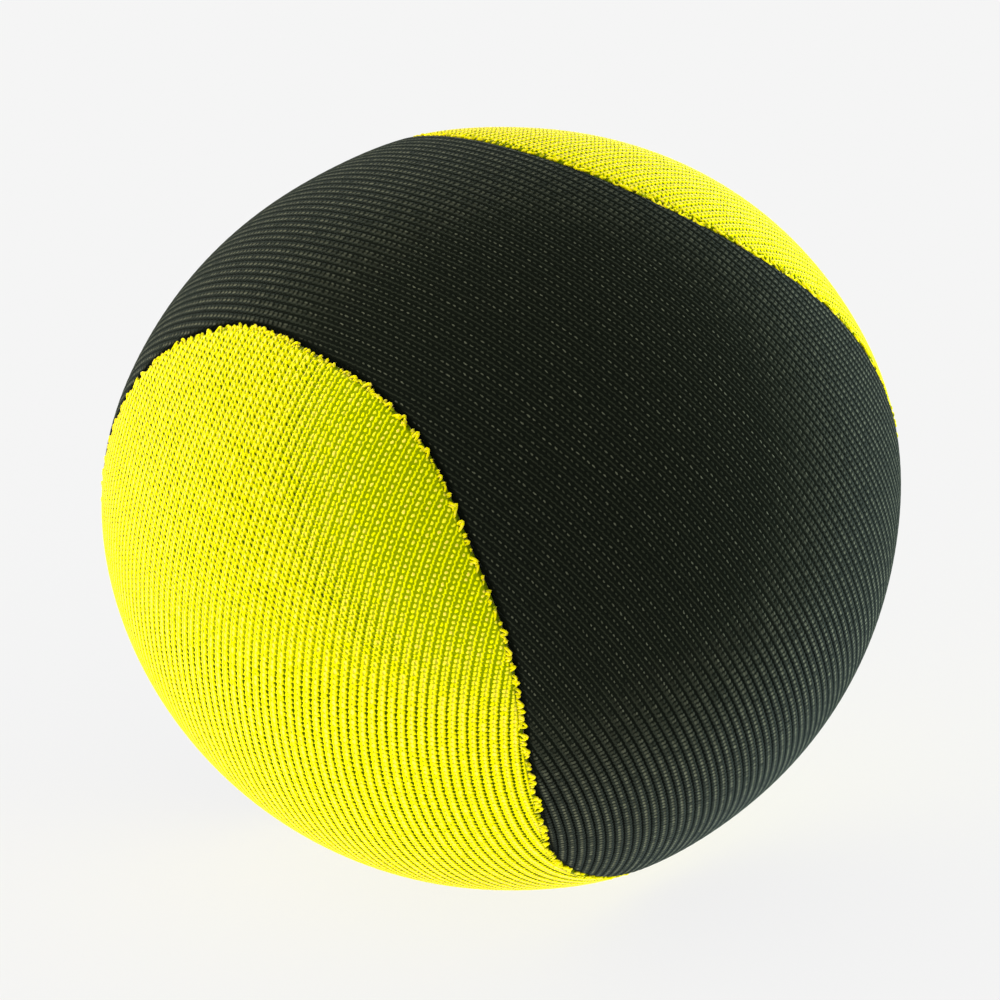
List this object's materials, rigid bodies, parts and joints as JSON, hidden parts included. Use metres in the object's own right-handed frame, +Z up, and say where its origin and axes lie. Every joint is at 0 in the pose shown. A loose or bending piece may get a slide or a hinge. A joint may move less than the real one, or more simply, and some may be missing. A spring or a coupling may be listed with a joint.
{
  "type": "juggling ball",
  "caption": "Soft round juggling ball: a taut stretch-knit cover of interlocking dog-bone panels over a filled inner bag, slightly slumped on a flat resting patch.",
  "frame": {"origin": "on the floor plane, below the middle of the ball's outline", "axes": "+Z up from the flat resting patch; the yellow lobe looks towards -X and -Y, the black lobe towards +X and -Y"},
  "size_m": [0.0672, 0.0672, 0.0625],
  "materials": {
    "black_knit": "matte olive-black stretch knit with fine ribs",
    "yellow_knit": "matte neon yellow stretch knit with fine ribs",
    "black_thread": "spun polyester sewing thread",
    "lining_cloth": "plain woven cotton lining",
    "lining_thread": "spun cotton sewing thread",
    "granulate": "fine plastic granulate"
  },
  "bodies": {
    "root": {"cover_panel_black": "black_knit", "cover_panel_yellow": "yellow_knit", "cover_seam_thread": "black_thread", "cover_closing_thread": "black_thread", "inner_bag_panel_a": "lining_cloth", "inner_bag_panel_b": "lining_cloth", "inner_bag_seam_thread": "lining_thread", "inner_bag_closing_thread": "lining_thread", "granulate_fill": "granulate"}
  },
  "joints": []
}
